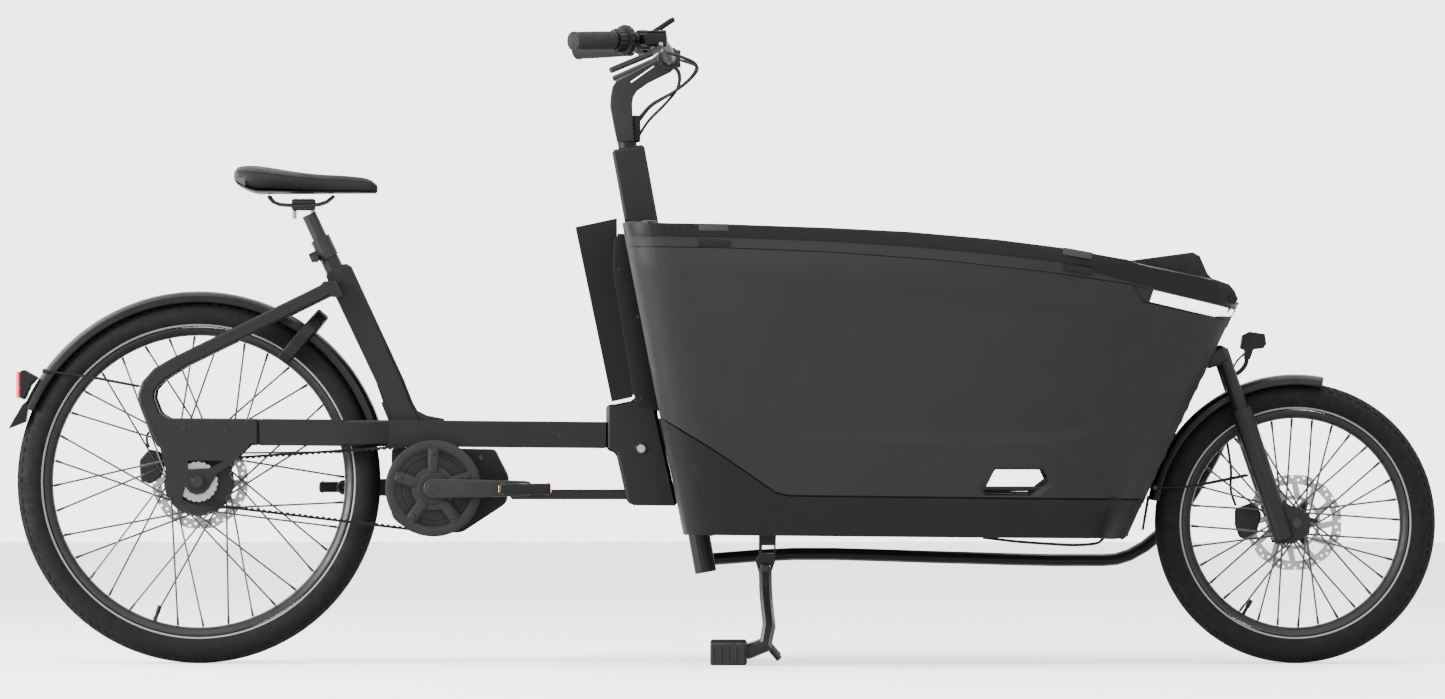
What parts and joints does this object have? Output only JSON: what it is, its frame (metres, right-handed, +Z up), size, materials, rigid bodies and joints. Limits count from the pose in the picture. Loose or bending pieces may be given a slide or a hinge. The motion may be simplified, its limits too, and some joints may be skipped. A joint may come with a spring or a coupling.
{
  "type": "cargo bicycle",
  "caption": "Front-loading electric cargo bicycle with a long box between the bars and a small front wheel, belt drive, mid motor and centre stand.",
  "frame": {"origin": "on the ground, midway between the rear mudflap and the front tyre, on the bicycle's middle plane", "axes": "+X forward, +Y to the rider's left, +Z up"},
  "size_m": [2.6382, 0.6972, 1.1941],
  "materials": {
    "frame_paint": "satin dark grey powder coat",
    "box_plastic": "matt dark grey foam shell",
    "skirt_plastic": "matt near-black shell",
    "trim_plastic": "fine-grained black",
    "black_metal": "black anodised",
    "tyre_rubber": "matt",
    "soft_rubber": "matt",
    "rim_metal": "dark satin",
    "bare_steel": "brushed",
    "red_lens": "glossy translucent red",
    "white_lens": "milky white",
    "seat_cover": "matt synthetic leather",
    "cushion_fabric": "woven dark grey"
  },
  "bodies": {
    "frame": {"main_frame": "frame_paint", "rear_stay_left": "frame_paint", "rear_stay_right": "frame_paint", "motor": "black_metal", "column_housing": "frame_paint", "beam": "frame_paint", "rear_fender": "trim_plastic", "tail_light_body": "trim_plastic", "tail_light_lens": "red_lens", "ring_lock_body": "trim_plastic", "rear_caliper": "black_metal", "rear_brake_hose": "soft_rubber", "box_shell": "box_plastic", "box_rim": "trim_plastic", "light_strip": "white_lens", "box_skirt": "skirt_plastic", "bench_cushion": "cushion_fabric", "stand_bracket": "black_metal", "seat_collar": "black_metal", "belt": "tyre_rubber"},
    "lock_shackle": {"ring_lock_shackle": "bare_steel"},
    "battery_pack": {"battery": "frame_paint"},
    "seat": {"seatpost": "black_metal", "saddle": "seat_cover", "saddle_clamp": "bare_steel"},
    "crank": {"crankset": "black_metal", "front_pulley": "black_metal"},
    "left_pedal": {"pedal_left": "black_metal"},
    "right_pedal": {"pedal_right": "black_metal"},
    "rear_wheel": {"rear_tyre": "tyre_rubber", "rear_rim": "rim_metal", "rear_hub": "black_metal", "rear_rotor": "bare_steel"},
    "rear_drive": {"rear_pulley": "bare_steel"},
    "steering": {"steering_column": "frame_paint", "stem": "black_metal", "handlebar": "black_metal", "grip_left": "soft_rubber", "grip_right": "soft_rubber", "brake_reservoir_left": "black_metal", "brake_reservoir_right": "black_metal", "display": "trim_plastic", "bar_hose": "soft_rubber"},
    "shifter": {"twist_shifter": "trim_plastic"},
    "left_lever": {"brake_lever_left": "black_metal"},
    "right_lever": {"brake_lever_right": "black_metal"},
    "tie_rod": {"steering_rod": "black_metal"},
    "fork": {"fork_crown": "black_metal", "headlight": "trim_plastic"},
    "fork_slider": {"fork_lowers": "black_metal", "front_fender": "trim_plastic", "front_caliper": "black_metal", "front_brake_hose": "soft_rubber"},
    "front_wheel": {"front_tyre": "tyre_rubber", "front_rim": "rim_metal", "front_hub": "black_metal", "front_rotor": "bare_steel"},
    "stand": {"stand_legs": "black_metal", "stand_pad_left": "soft_rubber", "stand_pad_right": "soft_rubber"}
  },
  "joints": [
    {"name": "rear_wheel_spin", "type": "hinge", "parent": "frame", "child": "rear_wheel", "pos_m": [-0.9675, 0, 0.336], "axis": [0, 1, 0], "continuous": true},
    {"name": "crank_spin", "type": "hinge", "parent": "frame", "child": "crank", "pos_m": [-0.532, 0, 0.324], "axis": [0, 1, 0], "continuous": true},
    {"name": "rear_pulley_spin", "type": "hinge", "parent": "frame", "child": "rear_drive", "pos_m": [-0.9675, 0, 0.336], "axis": [0, 1, 0], "continuous": true},
    {"name": "pedal_right_spin", "type": "hinge", "parent": "crank", "child": "right_pedal", "pos_m": [-0.362, 0, 0.324], "axis": [0, 1, 0], "continuous": true},
    {"name": "pedal_left_spin", "type": "hinge", "parent": "crank", "child": "left_pedal", "pos_m": [-0.702, 0, 0.324], "axis": [0, 1, 0], "continuous": true},
    {"name": "steering_turn", "type": "hinge", "parent": "frame", "child": "steering", "pos_m": [-0.03, 0, 0.168], "axis": [-0.1805, 0, 0.9836], "range_deg": [-28, 28]},
    {"name": "fork_turn", "type": "hinge", "parent": "frame", "child": "fork", "pos_m": [0.95557, 0, 0.38043], "axis": [-0.319, 0, 0.9478], "range_deg": [-28, 28]},
    {"name": "rod_swing", "type": "hinge", "parent": "steering", "child": "tie_rod", "pos_m": [-0.03734, 0.12, 0.208], "axis": [-0.1805, 0, 0.9836], "range_deg": [-28, 28]},
    {"name": "fork_travel", "type": "slide", "parent": "fork", "child": "fork_slider", "axis": [-0.319, 0, 0.9478], "range_m": [0, 0.013], "stiffness_N_per_m": 8000, "springref_m": -0.06},
    {"name": "front_wheel_spin", "type": "hinge", "parent": "fork_slider", "child": "front_wheel", "pos_m": [1.0596, 0, 0.2595], "axis": [0, 1, 0], "continuous": true},
    {"name": "stand_fold", "type": "hinge", "parent": "frame", "child": "stand", "pos_m": [0.08, 0, 0.176], "axis": [0, 1, 0], "range_deg": [0, 65]},
    {"name": "lever_left_pull", "type": "hinge", "parent": "steering", "child": "left_lever", "pos_m": [-0.1124, 0.26301, 1.13288], "axis": [0, 0, 1], "range_deg": [0, 14], "stiffness_Nm_per_rad": 1.5, "springref_deg": -11.46},
    {"name": "lever_right_pull", "type": "hinge", "parent": "steering", "child": "right_lever", "pos_m": [-0.1124, -0.26301, 1.13288], "axis": [0, 0, -1], "range_deg": [0, 14], "stiffness_Nm_per_rad": 1.5, "springref_deg": -11.46},
    {"name": "shifter_twist", "type": "hinge", "parent": "steering", "child": "shifter", "pos_m": [-0.1836, -0.2585, 1.1454], "axis": [-0.7558, -0.6541, -0.0291], "range_deg": [-45, 45]},
    {"name": "lock_turn", "type": "hinge", "parent": "frame", "child": "lock_shackle", "pos_m": [-0.78041, 0, 0.59555], "axis": [-0.7614, 0, 0.6483], "range_deg": [0, 88]},
    {"name": "seat_height", "type": "slide", "parent": "frame", "child": "seat", "axis": [-0.4226, 0, 0.9063], "range_m": [-0.04, 0.08]},
    {"name": "battery_lift", "type": "slide", "parent": "frame", "child": "battery_pack", "axis": [-0.1994, 0, 0.9799], "range_m": [0, 0.28]}
  ],
  "couplings": [
    {"joint": "rear_pulley_spin", "follows": "crank_spin", "ratio": 2},
    {"joint": "fork_turn", "follows": "steering_turn", "ratio": 1},
    {"joint": "rod_swing", "follows": "steering_turn", "ratio": -1}
  ]
}
